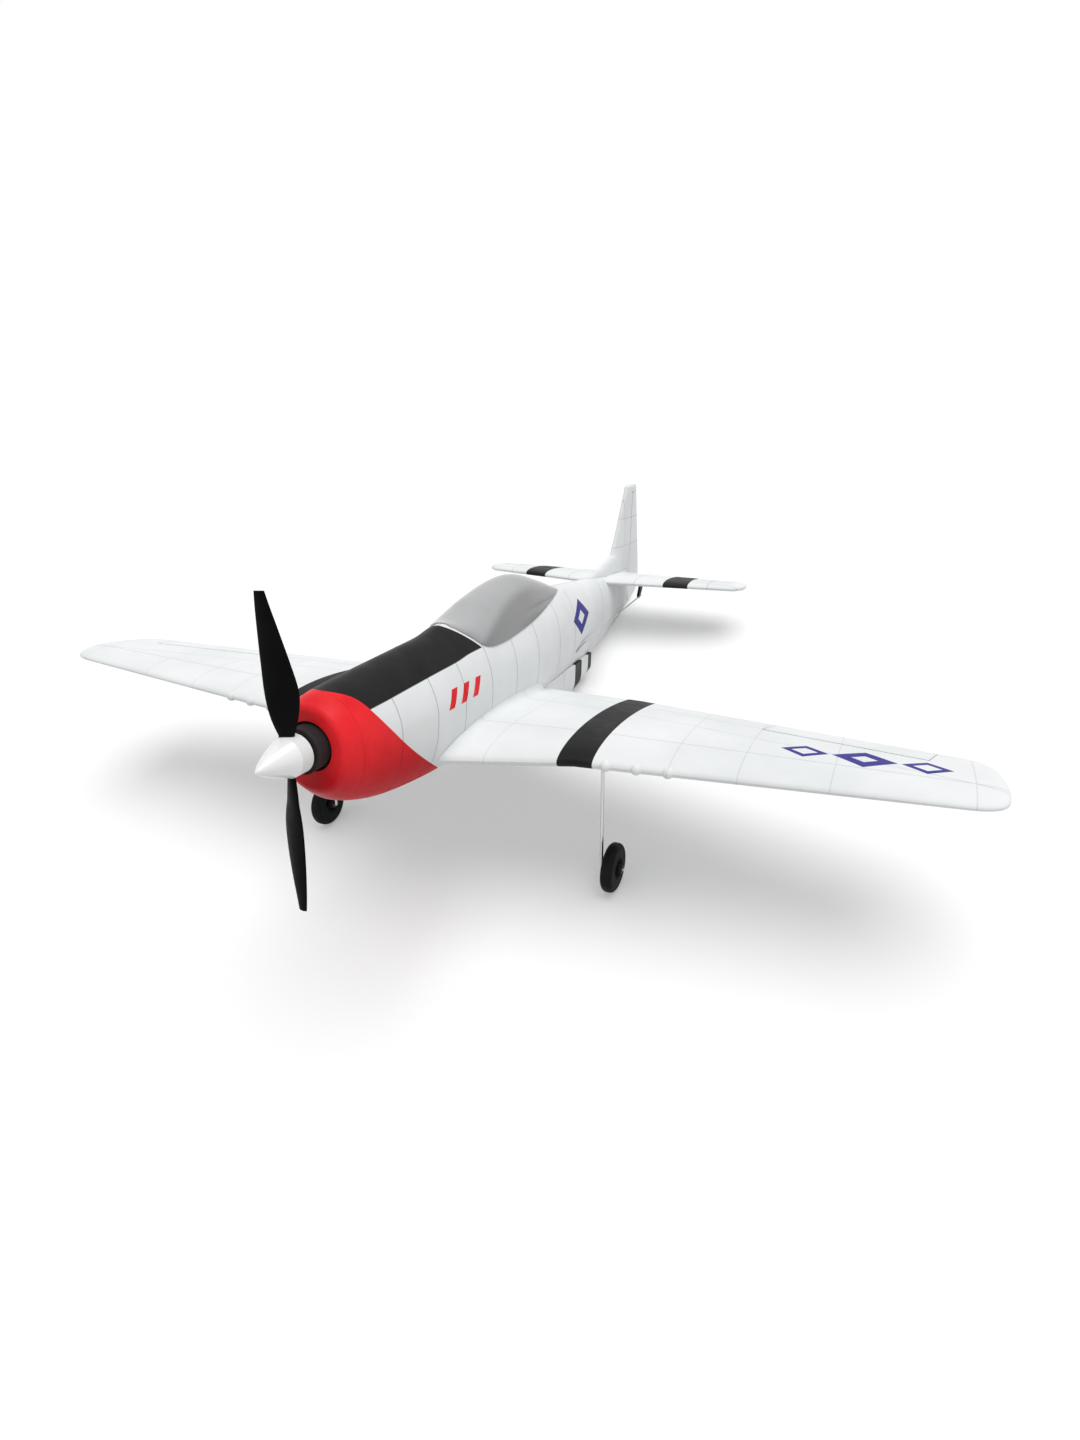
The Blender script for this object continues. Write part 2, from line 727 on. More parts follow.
WHITE = (0.80, 0.815, 0.82)
WHITE_SHADE = (0.72, 0.74, 0.745)
RED = (0.84, 0.025, 0.032)
RED_DEEP = (0.71, 0.014, 0.02)
RED_BELLY = (0.5, 0.006, 0.012)
BLACK = (0.008, 0.008, 0.008)
BLACK_PALE = (0.014, 0.013, 0.013)
BLUE = (0.035, 0.03, 0.24)
HOLE = (0.08, 0.08, 0.085)
PLASTIC_WHITE = (0.78, 0.785, 0.78)

# Places of the painted marks, in level millimetres
RED_SIDE = (46.5, -0.94, 0.016)  # station of the edge, in powers of the height
RED_TOP_Y = 31.5
RED_TOP_CURVE = 0.077
RED_TOP_FALL = 10.0
RED_CORNER = 5.0
RED_BELLY_Z = -9.0
RED_BELLY_BLEND = 10.0
DECK_HALF_W = 12.4
DECK_LOW_Z = 6.0
DECK_END_Y = 102.3
DECK_END_CURVE = 0.079
DASH_STATIONS = (82, 91, 100)
DASH_LEN = 4.2
DASH_SLANT = 0.6
DASH_HEIGHTS = (-2.6, 4.2)
DIAMOND_Y, DIAMOND_Z = 225, 4.6
DIAMOND_REACH_Y, DIAMOND_REACH_Z = 13.0, 9.2
DIAMOND_HOLE = 0.4
WING_DIAMONDS = ((137, 8, 0.55), (156.5, 10.5, 0.4), (176, 8, 0.55))  # place, reach, share of the hole
WING_DIAMOND_Y = 117
WING_DIAMOND_SQUASH = 1.3
WING_STRIPE = (56.5, 69.3)
WING_RIBS = (30, 96, 119, 148, 190)
WING_SPARS = ((106.5, 2.0), (150.0, -44.0))  # station at the middle, shift at the tip
TAIL_STRIPE = (36.0, 49.5)
TAIL_RIBS = (20, 60)
TAIL_SPAR_Y = STAB_LE_Y + 16
FIN_RIBS = (30, 46)
FIN_SPAR_Y = 318
SCOOP_BANDS = ((221, 232), (244, 255))
SCOOP_LINES = (SCOOP_Y + 12, SCOOP_Y + 46)
SCOOP_HOLE = (SCOOP_Y + 0.6, SCOOP_Y + 24)
SCOOP_HOLE_HALF_W = SCOOP_HALF_W - SCOOP_WALL + 0.3
SCOOP_HOLE_Z = SCOOP_Z + 5.2
FUSELAGE_LINES = (51, 73.3, 93.5, 115.2, 138, 162, 190, 214, 266, 292)
LINES_TOP_Z = 19.0
# The canopy's paler crown, a curve of height over station, and its darker rear
CROWN_Y, CROWN_Z, CROWN_CURVE = 163, 31.5, -0.0062
CANOPY_REAR_Y, CANOPY_REAR_BLEND = 172, 32


def beads(p):
    """Faint bumps of the beads in moulded foam."""
    return p.times(p.cells(0.55, "SMOOTH_F1"), 0.35)


def foam(name, marks, grime):
    """Painted moulded foam: faint beads, a little unevenness, painted marks and engraved lines.

    marks takes the paint and returns [(mask, colour)] and a mask of engraved lines, which grime
    darkens."""
    p = Paint(name)
    colour = p.mix(p.spread(p.noise(0.03), 0.0, 1.0), WHITE, WHITE_SHADE)
    layers, lines = marks(p)
    for mask, layer in layers:
        colour = p.mix(mask, colour, layer)
    colour = p.mix(p.times(lines, grime), colour, p.mix(0.7, colour, BLACK))
    height = p.add(beads(p), p.times(lines, -2.0))
    rough = p.spread(p.noise(0.12), 0.42, 0.54)
    return p.finish(colour, rough, height, 0.12, Specular_IOR_Level=0.1)


def worn(p, dark, light):
    """A painted colour with a little unevenness."""
    return p.mix(p.spread(p.noise(0.09), 0.0, 1.0), dark, light)


def black_paint(p):
    return worn(p, BLACK, BLACK_PALE)


def red_mask(p):
    """The red nose: its edge swoops aft from the deck to the belly."""
    start, slope, curl = RED_SIDE
    side_edge = p.add(start, p.times(p.z, slope), p.times(p.z, p.z, curl))
    below_deck = p.math("MAXIMUM", p.math("SUBTRACT", DECK_LOW_Z, p.z), 0.0)
    top_edge = p.add(RED_TOP_Y, p.times(p.x, p.x, RED_TOP_CURVE), p.times(below_deck, RED_TOP_FALL))
    return p.below(p.y, p.math("SMOOTH_MIN", side_edge, top_edge, RED_CORNER))


def red_paint(p):
    """Red that deepens towards the belly."""
    return p.mix(p.below(p.z, RED_BELLY_Z, RED_BELLY_BLEND), worn(p, RED_DEEP, RED), RED_BELLY)


def fuselage_marks(p):
    deck_end = p.add(DECK_END_Y, p.times(p.x, p.x, DECK_END_CURVE))
    deck = p.times(p.below(p.half, DECK_HALF_W), p.above(p.z, DECK_LOW_Z), p.below(p.y, deck_end))
    slant = p.math("SUBTRACT", p.y, p.times(p.z, DASH_SLANT))
    dashes = p.either(*[p.band(slant, y, y + DASH_LEN) for y in DASH_STATIONS])
    dashes = p.times(dashes, p.band(p.z, *DASH_HEIGHTS), p.above(p.x, 5.0))
    diamond = p.add(p.times(p.off(p.y, DIAMOND_Y), 1 / DIAMOND_REACH_Y),
                    p.times(p.off(p.z, DIAMOND_Z), 1 / DIAMOND_REACH_Z))
    diamond_ring = p.times(p.band(diamond, DIAMOND_HOLE, 1.0, 0.03), p.above(p.half, 4.0))
    stations = p.times(p.lines(p.y, FUSELAGE_LINES), p.below(p.z, LINES_TOP_Z))
    seam = p.below(p.half, 0.16, 0.08)
    layers = [
        (dashes, worn(p, RED_DEEP, RED)),
        (diamond_ring, BLUE),
        (deck, black_paint(p)),
        (red_mask(p), red_paint(p)),
    ]
    return layers, p.either(stations, seam)


def wing_marks(p):
    top = p.above(p.z, p.add(WING_Z, p.times(p.half, math.tan(DIHEDRAL))))
    rings = []
    for x, reach, hole in WING_DIAMONDS:
        diamond = p.add(p.times(p.off(p.x, x), 1 / reach),
                        p.times(p.off(p.y, WING_DIAMOND_Y), WING_DIAMOND_SQUASH / reach))
        rings.append(p.band(diamond, hole, 1.0, 0.04))
    share = p.times(p.half, 1 / HALF_SPAN)
    hinge_line = p.add(wing_te(0) - AILERON_CHORD, p.times(share, wing_te(HALF_SPAN) - wing_te(0)))
    ribs = p.times(p.lines(p.half, WING_RIBS), 0.5)
    spars = p.lines(p.y, [p.add(y, p.times(share, shift)) for y, shift in WING_SPARS])
    flap = p.times(p.lines(p.y, (hinge_line,)), p.below(p.half, AILERON_IN))
    layers = [
        (p.times(p.either(*rings), top), BLUE),
        (p.band(p.half, *WING_STRIPE), black_paint(p)),
    ]
    return layers, p.either(ribs, spars, flap)


def tail_marks(p):
    lines = p.either(p.lines(p.half, TAIL_RIBS), p.lines(p.y, (TAIL_SPAR_Y,)))
    return [(p.band(p.half, *TAIL_STRIPE), black_paint(p))], lines


def fin_marks(p):
    return [], p.either(p.lines(p.z, FIN_RIBS), p.lines(p.y, (FIN_SPAR_Y,)))


def scoop_marks(p):
    bands = p.either(*[p.band(p.y, *ends) for ends in SCOOP_BANDS])
    hole = p.times(p.band(p.y, *SCOOP_HOLE), p.below(p.half, SCOOP_HOLE_HALF_W),
                   p.above(p.z, SCOOP_HOLE_Z))
    return [(bands, black_paint(p)), (hole, HOLE)], p.lines(p.y, SCOOP_LINES)


def red_foam():
    p = Paint("red_foam")
    rough = p.spread(p.noise(0.12), 0.36, 0.48)
    return p.finish(red_paint(p), rough, beads(p), 0.12, Specular_IOR_Level=0.12)


def plastic(name, dark, light, rough=(0.3, 0.42), grain=2.0, depth=0.02, **sockets):
    """Moulded plastic with fine grain."""
    p = Paint(name)
    rough = p.spread(p.noise(0.4), *rough)
    return p.finish(worn(p, dark, light), rough, p.noise(grain), depth, **sockets)


def metal(name, dark, light):
    """Drawn or plated metal with streaks along Z of the level frame."""
    p = Paint(name)
    streak = p.noise(0.5, vector=p.stretched(12.0, 12.0, 0.6))
    rough = p.spread(streak, 0.22, 0.38)
    return p.finish(p.mix(streak, dark, light), rough, streak, 0.01, Metallic=1.0)


def wood(name):
    """Plywood with grain along Y of the level frame."""
    p = Paint(name)
    grain = p.noise(1.0, 5.0, vector=p.stretched(3.0, 0.15, 1.0))
    colour = p.mix(grain, (0.42, 0.27, 0.13), (0.66, 0.5, 0.3))
    return p.finish(colour, p.spread(grain, 0.6, 0.75), grain, 0.04)


def canopy_material():
    """Smoky plastic, paler over the crown and in front, darker down the sides and aft."""
    p = Paint("smoky_canopy")
    from_top = p.off(p.y, CROWN_Y)
    crown = p.add(CROWN_Z, p.times(from_top, from_top, CROWN_CURVE))
    shade = p.below(p.math("SUBTRACT", p.z, crown), -3.0, 2.6)
    front = p.mix(shade, (0.415, 0.419, 0.424), (0.235, 0.237, 0.241))
    rear = p.mix(shade, (0.205, 0.207, 0.211), (0.175, 0.177, 0.18))
    colour = p.mix(p.below(p.y, CANOPY_REAR_Y, CANOPY_REAR_BLEND), rear, front)
    colour = p.mix(p.spread(p.noise(0.05), 0.0, 0.3), colour, (0.27, 0.272, 0.277))
    return p.finish(colour, p.spread(p.noise(0.2), 0.16, 0.24), p.noise(1.2), 0.01,
                    Specular_IOR_Level=0.3, Coat_Weight=0.15, Coat_Roughness=0.08)


def propeller_material():
    """Black blades on a white hub, which carries on the spinner's skirt."""
    p = Paint("propeller")
    from_axis = p.math("SQRT", p.add(p.times(p.x, p.x), p.times(p.z, p.z)))
    hub = p.below(from_axis, SPINNER_D / 2 + 0.1)
    blade = worn(p, (0.002, 0.002, 0.002), (0.004, 0.004, 0.004))
    rough = p.spread(p.noise(0.4), 0.4, 0.52)
    return p.finish(p.mix(hub, blade, PLASTIC_WHITE), rough, p.noise(2.0), 0.02, Specular_IOR_Level=0.04)


def tyre_material():
    p = Paint("tyre_foam")
    colour = worn(p, (0.005, 0.005, 0.005), (0.011, 0.011, 0.011))
    rough = p.spread(p.noise(0.5), 0.55, 0.7)
    return p.finish(colour, rough, p.cells(2.2), 0.05, Specular_IOR_Level=0.1)


MATERIALS = {
    "fuselage": foam("white_foam_fuselage", fuselage_marks, 0.8),
    "wing": foam("white_foam_wing", wing_marks, 0.4),
    "tail": foam("white_foam_tail", tail_marks, 0.45),
    "fin": foam("white_foam_fin", fin_marks, 0.45),
    "scoop": foam("white_foam_scoop", scoop_marks, 0.6),
    "red_foam": red_foam(),
    "smoky_canopy": canopy_material(),
    "black_nylon": plastic("black_nylon", (0.004, 0.004, 0.004), (0.008, 0.008, 0.008), (0.4, 0.52),
                           Specular_IOR_Level=0.1),
    "propeller": propeller_material(),
    "white_plastic": plastic("white_plastic", PLASTIC_WHITE, (0.84, 0.845, 0.84), (0.18, 0.26),
                             Coat_Weight=0.3, Coat_Roughness=0.1),
    "grey_plastic": plastic("grey_plastic", (0.018, 0.018, 0.019), (0.03, 0.03, 0.031), (0.4, 0.5),
                            Specular_IOR_Level=0.15),
    "steel_wire": metal("steel_wire", (0.5, 0.5, 0.51), (0.68, 0.68, 0.69)),
    "tyre_foam": tyre_material(),
    "servo_plastic": plastic("servo_plastic", (0.02, 0.06, 0.3), (0.03, 0.09, 0.4), (0.2, 0.3)),
    "brass": metal("brass", (0.6, 0.42, 0.14), (0.8, 0.6, 0.24)),
    "motor_steel": metal("motor_steel", (0.5, 0.5, 0.5), (0.66, 0.66, 0.66)),
    "plywood": wood("plywood"),
    "battery_wrap": plastic("battery_wrap", (0.75, 0.3, 0.03), (0.85, 0.4, 0.05), (0.25, 0.35)),
    "circuit_board": plastic("circuit_board", (0.02, 0.16, 0.06), (0.04, 0.24, 0.1), (0.3, 0.4)),
    "magnet": metal("magnet", (0.62, 0.62, 0.64), (0.78, 0.78, 0.8)),
    "carbon_rod": plastic("carbon_rod", (0.012, 0.012, 0.013), (0.03, 0.03, 0.032), (0.3, 0.4),
                          grain=4.0),
}

# CAD nodes take the material of their slot, and those of white foam the fuselage's
for part in frame["record"]["subparts"]:
    held = frame["nodes"][part["node"]].data.materials
    held.clear()
    held.append(MATERIALS.get(part["material_slot"], MATERIALS["fuselage"]))


# Airframe

ALONG_Y = Matrix.Rotation(math.pi / 2, 4, "Z")
RUDDER_PLACE = Matrix.Translation((0, RUDDER_HINGE_Y, 0)) @ Matrix.Rotation(-math.pi / 2, 4, "Y")


def hatch_tool(gap):
    return block("hatch", (-HATCH_W / 2 - gap, HATCH_Y - gap, HATCH_LOW_Z),
                 (HATCH_W / 2 + gap, HATCH_END_Y + gap, HATCH_ROOF_Z))


def fuselage_half(side):
    shell = fuselage_solid(NOSE_Y + NOSE_RING_LEN + SEAT_GAP, TAIL_Y)
    half = block("half", (min(0, side * BIG), 0, -BIG), (max(0, side * BIG), BIG, BIG))
    carve(shell, half, operation="INTERSECT")
    hinge = [(x, STAB_HINGE_Y, STAB_Z) for x in (-60, 60)]
    torque = rod("torque", *hinge, TORQUE_D + 2 * RUN_GAP)
    exits = [rod("exit", *line, EXIT_D) for line in (ELEVATOR_ROD, RUDDER_ROD)]
    carve(shell, fuselage_solid(NOSE_Y + NOSE_RING_LEN - 1, CORE_END_Y, -WALL), *wing_slots(),
          stab_solid(SEAT_GAP), torque, hatch_tool(SWING_GAP), *exits, ground_cut())
    name = "fuselage_left" if side > 0 else "fuselage_right"
    return piece(shell, name + "_shell", "airframe", "fuselage", name)


def nose_ring():
    end = NOSE_Y + NOSE_RING_LEN
    rings = []
    for k in range(9):
        a = math.pi / 2 * k / 8
        back, inset = NOSE_ROUND * (1 - math.cos(a)), NOSE_ROUND * (1 - math.sin(a))
        rings.append(fuselage_ring(NOSE_Y + back, -inset))
    rings += [fuselage_ring(y) for y in steps(NOSE_Y + NOSE_ROUND + 0.5, end, 1.0)]
    ring = loft("nose_ring", rings)
    bore = rod("bore", (0, NOSE_Y - 1, 0), (0, end + 10, 0), 2 * NOSE_BORE_R, 64)
    carve(ring, fuselage_solid(NOSE_Y + WALL, end + 1, -WALL - 1.3), bore)
    return piece(ring, "nose_ring_shell", "airframe", "red_foam", "nose_ring")


def battery_hatch():
    hatch = fuselage_solid(HATCH_Y - 4, HATCH_END_Y + 4)
    carve(hatch, hatch_tool(0), operation="INTERSECT")
    carve(hatch, fuselage_solid(HATCH_Y - 5, HATCH_END_Y + 5, -WALL))
    return piece(hatch, "battery_hatch_lid", "hatch", "fuselage", "battery_hatch")


def canopy():
    rear = WINDSCREEN_Y + CANOPY_LEN
    shell = loft("canopy", [canopy_ring(y) for y in steps(WINDSCREEN_Y, rear, 1.5)])
    inner = loft("inner", [canopy_ring(y, CANOPY_WALL) for y in steps(WINDSCREEN_Y + 6, rear - 6, 3)])
    carve(shell, inner, fuselage_solid(WINDSCREEN_Y - 6, rear + 6, SEAT_GAP))
    return piece(shell, "canopy_bubble", "airframe", "smoky_canopy", "canopy")


def belly_scoop():
    end = SCOOP_Y + SCOOP_LEN
    scoop = loft("scoop", [scoop_ring(y, 0, SCOOP_ROOF_Z) for y in steps(SCOOP_Y, end, 3)])
    mouth = loft("mouth", [scoop_ring(y, SCOOP_WALL, SCOOP_MOUTH_ROOF_Z)
                           for y in steps(SCOOP_Y - 1, SCOOP_Y + SCOOP_MOUTH_LEN, 3)])
    carve(scoop, mouth, fuselage_solid(SCOOP_Y - 20, end + 20, SEAT_GAP), *wing_slots(), ground_cut())
    return piece(scoop, "belly_scoop_shell", "airframe", "scoop", "belly_scoop")


def gun_fairing(x, place):
    r = GUN_D / 2
    centre = wing_le(x) - GUN_PROUD + r
    nose = [(r * math.cos(a), r * math.sin(a)) for a in np.linspace(-1.35, 0, 7)]
    profile = [(0, -r), *nose, (r, GUN_LEN), (0, GUN_LEN)]
    return lathe("gun", profile, place @ Matrix.Translation((x, centre, wing_plane(x))) @ ALONG_Y, 32)


def wing_top(x, y):
    """Height of the wing's top, inboard of the rounded tip, and half the thickness there."""
    chord = wing_te(x) - wing_le(x)
    u = (y - wing_le(x)) / chord
    half_thick = foil(u, wing_thick(x))
    return wing_plane(x) + camber(u, chord) + half_thick, half_thick


def root_fillet(place):
    """Concave fairing between the fuselage's side and the wing's top, wider towards the rear."""
    rings = []
    front, rear = wing_le(FUS_HALF_W) + FILLET_FRONT, wing_te(FUS_HALF_W) - FILLET_REAR
    for y in steps(front, rear, 3):
        share = (y - front) / (rear - front)
        r = FILLET_R + FILLET_R_GROWTH * min(share, 6 * (1 - share) + 0.3)  # closes near the rear end
        x = FUS_HALF_W
        for _ in range(20):  # closes in on where the wing's top meets the fuselage
            x = fuselage_x(y, wing_top(x, y)[0])
        corner = Vector((x, y, wing_top(x, y)[0]))
        high = Vector((fuselage_x(y, corner.z + r), y, corner.z + r))
        outer_z, half_thick = wing_top(x + r, y)
        outer = Vector((x + r, y, outer_z))
        sink, inset = Vector((0, 0, FILLET_SINK * half_thick)), Vector((FILLET_INSET, 0, 0))
        rings.append([*arc(high, corner, outer, 11), outer - sink, corner - inset - sink, high - inset])
    fillet = loft("fillet", rings, place)
    return carve(fillet, fuselage_solid(front - 5, rear + 5, SEAT_GAP))


def wing(side):
    place = flank(side)
    panel = wing_solid(place=place)
    carve(panel, root_fillet(place), operation="UNION")
    for k in range(3):
        carve(panel, gun_fairing(GUN_X + k * GUN_PITCH, place), operation="UNION")
    half = HINGE_LEN / 2
    leg_top = Vector((LEG_X, wing_le(LEG_X) + LEG_SET_BACK, wing_plane(LEG_X)))
    socket = block("socket", leg_top + Vector(SOCKET_BAY_LOW), leg_top + Vector(SOCKET_BAY_HIGH), place)
    inner_end = place @ HINGE @ Matrix.Translation((-half, 0, 0))
    servo = block("servo", SERVO_BAY_LOW, SERVO_BAY_HIGH, inner_end)
    carve(panel, bay(AILERON_NOSE_R + SWING_GAP, LIP, -half, half, place @ HINGE), socket, servo)
    name = sided(side, "wing")
    return piece(panel, name + "_panel", "airframe", "wing", name)


def aileron(side):
    place = flank(side)
    half = HINGE_LEN / 2 - SWING_GAP
    surface = wing_solid(place=place)
    carve(surface, bay(AILERON_NOSE_R, 0.0, -half, half, place @ HINGE), operation="INTERSECT")
    ends = [place @ HINGE @ Vector((x, 0, 0)) for x in (-half - 1, half + 1)]
    carve(surface, rod("pin", *ends, PIN_D + 2 * RUN_GAP))
    name = sided(side, "aileron")
    return piece(surface, name + "_foam", name + "_surface", "wing", name)


def elevator_bay(side, nose_r, lip, gap):
    place = Matrix.Translation((0, STAB_HINGE_Y, STAB_Z))
    ends = sorted((side * (ELEVATOR_IN + gap), side * (ELEVATOR_OUT - gap)))
    return bay(nose_r, lip, *ends, place)


def stabilizer():
    tail = stab_solid()
    carve(tail, *[elevator_bay(s, ELEVATOR_NOSE_R + SWING_GAP, LIP, 0.0) for s in (1, -1)])
    return piece(tail, "stabilizer_foam", "airframe", "tail", "stabilizer")


def elevator(side):
    half = stab_solid()
    carve(half, elevator_bay(side, ELEVATOR_NOSE_R, 0.0, SWING_GAP), operation="INTERSECT")
    name = sided(side, "elevator")
    return piece(half, name + "_foam", "elevator_surface", "tail", name)


def fin():
    blade = fin_solid()
    low = STAB_Z + STAB_ROOT_THICK / 2 + SEAT_GAP
    carve(blade, block("keep", (-BIG, 0, low), (BIG, BIG, BIG)), operation="INTERSECT")
    post = block("post", (-POST_THICK / 2, TAIL_Y + SEAT_GAP, FIN_FOOT_Z),
                 (POST_THICK / 2, RUDDER_HINGE_Y, POST_TOP_Z))
    post_ends = [(0, RUDDER_HINGE_Y, z) for z in (FIN_FOOT_Z, POST_TOP_Z)]
    carve(post, rod("nose", *post_ends, POST_THICK), operation="UNION")
    carve(blade, post, operation="UNION")
    head = FIN_TOP_Z - FIN_CAP + SWING_GAP
    room = bay(RUDDER_NOSE_R + SWING_GAP, LIP, RUDDER_FOOT_Z - SWING_GAP, head, RUDDER_PLACE)
    carve(blade, room, fuselage_solid(200, TAIL_Y, SEAT_GAP), ground_cut())
    return piece(blade, "fin_foam", "airframe", "fin", "fin")


def rudder():
    """The fin's blade behind the hinge, with a heel that slopes up towards the rear."""
    blade = fin_solid()
    room = bay(RUDDER_NOSE_R, 0.0, RUDDER_FOOT_Z, FIN_TOP_Z - FIN_CAP, RUDDER_PLACE)
    carve(blade, room, operation="INTERSECT")
    y, z = RUDDER_HINGE_Y + 4, RUDDER_FOOT_Z
    heel = prism("heel", [(y, z), (y + 40, z + 14), (y + 40, z - 10), (y, z - 10)], 40,
                 Matrix.Translation((-20, 0, 0)))
    pin_ends = [(0, RUDDER_HINGE_Y, z) for z in (FIN_FOOT_Z - 5, 90)]
    carve(blade, heel, rod("pin", *pin_ends, PIN_D + 2 * RUN_GAP))
    return piece(blade, "rudder_foam", "rudder_surface", "fin", "rudder")


for side in (1, -1):
    fuselage_half(side)
    wing(side)
    aileron(side)
    elevator(side)
nose_ring()
battery_hatch()
canopy()
belly_scoop()
stabilizer()
fin()
rudder()


# Drive

def spinner():
    r = SPINNER_D / 2
    n = 40
    profile = [(0, 0)]
    for i in range(1, n + 1):
        s = (i / n) ** 1.6  # closer together at the tip
        profile.append((r * s ** SPINNER_POWER, s * SPINNER_LEN))
    profile += [(r - 0.6, SPINNER_LEN), (0, SPINNER_LEN)]
    cone = lathe("spinner", profile, ALONG_Y, 96)
    return piece(cone, "spinner_cone", "prop_drive", "white_plastic", "spinner")


def propeller():
    r = SPINNER_D / 2
    profile = [(0, 0), (r - 0.1, 0), (r, 0.1), (r, HUB_LEN - 0.5), (r - 0.5, HUB_LEN), (0, HUB_LEN)]
    hub = lathe("propeller", profile, Matrix.Translation((0, SPINNER_LEN, 0)) @ ALONG_Y, 96)
    tip = [0.9 + 0.1 * math.sin(math.pi / 2 * k / 6) for k in range(1, 7)]
    shares = [*np.linspace(0.1, 0.9, 25), *tip]
    seat = Matrix.Translation((0, SPINNER_LEN + BLADE_SEAT, 0)) @ Matrix.Rotation(PROP_ANGLE, 4, "Y")
    for half_turn in (0, math.pi):
        place = seat @ Matrix.Rotation(half_turn, 4, "Y")
        carve(hub, loft("blade", [blade_ring(s) for s in shares], place), operation="UNION")
    carve(hub, rod("bore", (0, SPINNER_LEN - 1, 0), (0, SPINNER_LEN + HUB_LEN + 1, 0), SHAFT_D))
    return piece(hub, "propeller_blades", "prop_drive", "propeller", "propeller")


spinner()
propeller()


# Wheels and legs

def at_wheel(side):
    x = side * (WHEEL_X0 + WHEEL_W / 2)
    return Matrix.Translation((x, AXLE_Y, AXLE_Z)) @ Matrix.Scale(side, 4, (1, 0, 0))


def tyre(side):
    half, outer, inner = TYRE_W / 2, WHEEL_D / 2, WHEEL_HUB_D / 2
    round_r = half * 0.8
    tread = [(outer - round_r + round_r * math.sin(a), round_r * -math.cos(a) - (half - round_r))
             for a in np.linspace(0.0, math.pi / 2, 12)]
    profile = [(inner, -half + 0.5), (inner + 0.5, -half), *tread]
    profile += [(r, -x) for r, x in profile[::-1]]
    ring = lathe("tyre", profile, at_wheel(side), 96)
    name = sided(side, "tyre")
    return piece(ring, name + "_foam", sided(side, "wheel"), "tyre_foam", name)


def wheel_hub(side):
    bore = WIRE_D / 2 + RUN_GAP
    web, rim, boss = 0.9, TYRE_W / 2 - 0.8, WHEEL_W / 2
    outer = WHEEL_HUB_D / 2 - 0.02
    right_half = [(bore, boss), (1.7, boss), (2.0, boss - 0.3), (2.0, web), (outer - 0.9, web),
                  (outer - 0.7, rim), (outer, rim)]
    profile = right_half + [(r, -x) for r, x in right_half[::-1]]
    hub = lathe("hub", profile, at_wheel(side), 64)
    name = sided(side, "wheel_hub")
    return piece(hub, name + "_disc", sided(side, "wheel"), "tyre_foam", name)


def leg(side):
    """Wire from the socket down to the axle, with a rounded bend."""
    top = Vector((LEG_X, wing_le(LEG_X) + LEG_SET_BACK, wing_plane(LEG_X) + LEG_TOP_RISE))
    foot = Vector((LEG_X, AXLE_Y, AXLE_Z))
    end = Vector((AXLE_END_X, AXLE_Y, AXLE_Z))
    start, stop = (foot + (p - foot).normalized() * LEG_BEND_R for p in (top, end))
    path = [top, *arc(start, foot, stop, 9), end]
    rings = []
    for i, p in enumerate(path):
        along = (path[min(i + 1, len(path) - 1)] - path[max(i - 1, 0)]).normalized()
        across = Vector((0, 1, 0)) - along * along.y
        across.normalize()
        other = along.cross(across)
        rings.append([p + (across * math.cos(a) + other * math.sin(a)) * WIRE_D / 2
                      for a in np.linspace(0, math.tau, 24, endpoint=False)])
    wire = loft("leg", rings, flank(side))
    name = sided(side, "leg")
    return piece(wire, name + "_wire", "airframe", "steel_wire", name)


for side in (1, -1):
    tyre(side)
    wheel_hub(side)
    leg(side)


# Stage, light and camera

IMAGE_W, IMAGE_H = 1080, 1440
FOCAL_PX = 828.222
SENSOR = 36.0
CAMERA_AT = Vector((160.115, -166.176, 91.972))
CAMERA_RIGHT = Vector((0.9139785, 0.4053518, 0.0182548))
CAMERA_UP = Vector((-0.1475341, 0.2900739, 0.9455638))
FLOOR_HALF = 6.0
WORLD_LIGHT = 0.5
FLOOR_GLOW = 0.24
SUN_POWER = 2.1
SUN_ANGLE = math.radians(50)
SUN_FROM = (0.2, -0.2, 1.0)


def make_camera():
    """The photograph's camera, fitted to points of the outline in the level frame."""
    data = bpy.data.cameras.new("camera")
    data.sensor_width = SENSOR
    data.lens = SENSOR * FOCAL_PX / max(IMAGE_W, IMAGE_H)
    data.clip_start, data.clip_end = 0.005, 20
    camera = new_object("camera", data)
    turn = LEVEL.to_3x3() * (1 / MM)
    axes = [turn @ v for v in (CAMERA_RIGHT, CAMERA_UP, CAMERA_RIGHT.cross(CAMERA_UP))]
    camera.matrix_world = Matrix.Translation(LEVEL @ CAMERA_AT) @ Matrix(axes).transposed().to_4x4()
    bpy.context.scene.camera = camera


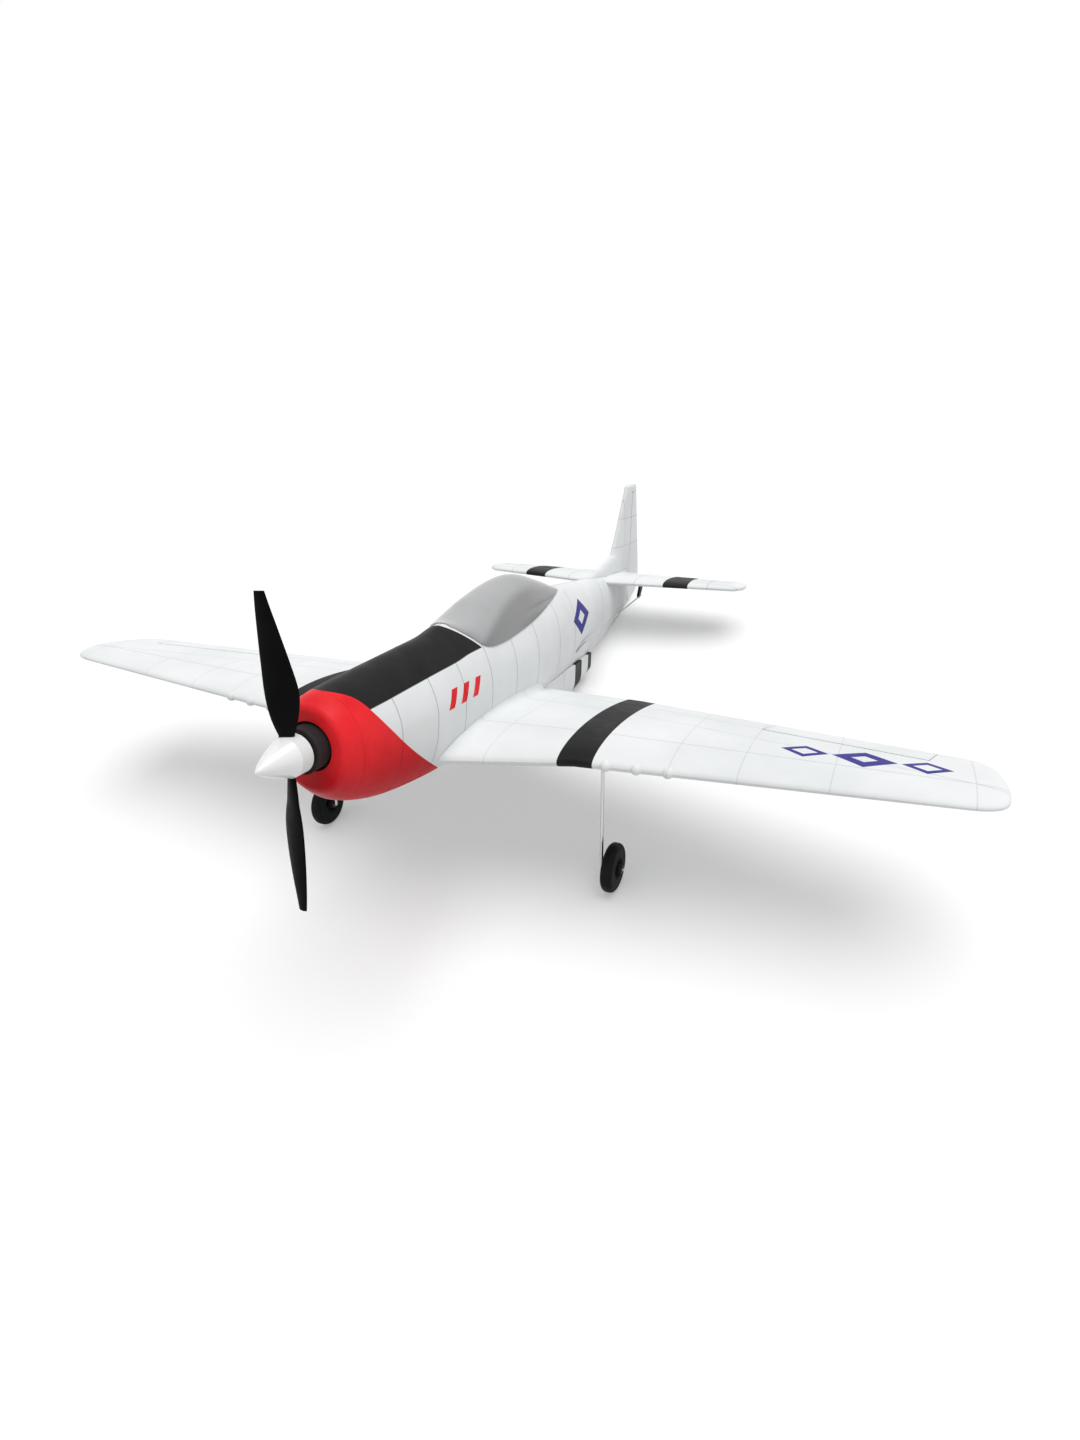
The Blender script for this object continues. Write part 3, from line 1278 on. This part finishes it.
def seen_rays(tree):
    """1 for rays that show the background, straight or in metal and glass, and 0 for the others."""
    path = tree.nodes.new("ShaderNodeLightPath")
    total = path.outputs["Is Camera Ray"]
    for kind in ("Is Glossy Ray", "Is Transmission Ray"):
        node = tree.nodes.new("ShaderNodeMath")
        node.operation = "MAXIMUM"
        tree.links.new(total, node.inputs[0])
        tree.links.new(path.outputs[kind], node.inputs[1])
        total = node.outputs[0]
    return total


def make_floor():
    mesh = bpy.data.meshes.new("floor")
    corners = [(FLOOR_HALF * x, FLOOR_HALF * y, 0) for x, y in ((-1, -1), (1, -1), (1, 1), (-1, 1))]
    mesh.from_pydata(corners, [], [(0, 1, 2, 3)])
    floor = new_object("floor", mesh)
    material = bpy.data.materials.new("floor")
    material.use_nodes = True
    tree = material.node_tree
    shader = tree.nodes["Principled BSDF"]
    shader.inputs["Base Color"].default_value = (0.72, 0.72, 0.72, 1)
    shader.inputs["Roughness"].default_value = 0.9
    shader.inputs["Specular IOR Level"].default_value = 0.0
    shader.inputs["Emission Color"].default_value = (1, 1, 1, 1)
    glow = tree.nodes.new("ShaderNodeMath")
    glow.operation = "MULTIPLY"
    tree.links.new(seen_rays(tree), glow.inputs[0])
    glow.inputs[1].default_value = FLOOR_GLOW
    tree.links.new(glow.outputs[0], shader.inputs["Emission Strength"])
    mesh.materials.append(material)


def make_world():
    world = bpy.data.worlds.new("world")
    bpy.context.scene.world = world
    world.use_nodes = True
    tree = world.node_tree
    sky = tree.nodes["Background"]
    sky.inputs["Color"].default_value = (1, 1, 1, 1)
    strength = tree.nodes.new("ShaderNodeMapRange")
    tree.links.new(seen_rays(tree), strength.inputs["Value"])
    strength.inputs["To Min"].default_value = WORLD_LIGHT
    strength.inputs["To Max"].default_value = 1.0
    tree.links.new(strength.outputs["Result"], sky.inputs["Strength"])


def make_sun():
    """One broad soft light, from above, a little ahead and to port."""
    data = bpy.data.lights.new("key", "SUN")
    data.energy = SUN_POWER
    data.angle = SUN_ANGLE
    lamp = new_object("key", data)
    lamp.rotation_euler = (LEVEL.to_3x3() @ Vector(SUN_FROM)).to_track_quat("Z", "Y").to_euler()


make_camera()
make_floor()
make_world()
make_sun()
bpy.context.scene.view_settings.view_transform = "Standard"
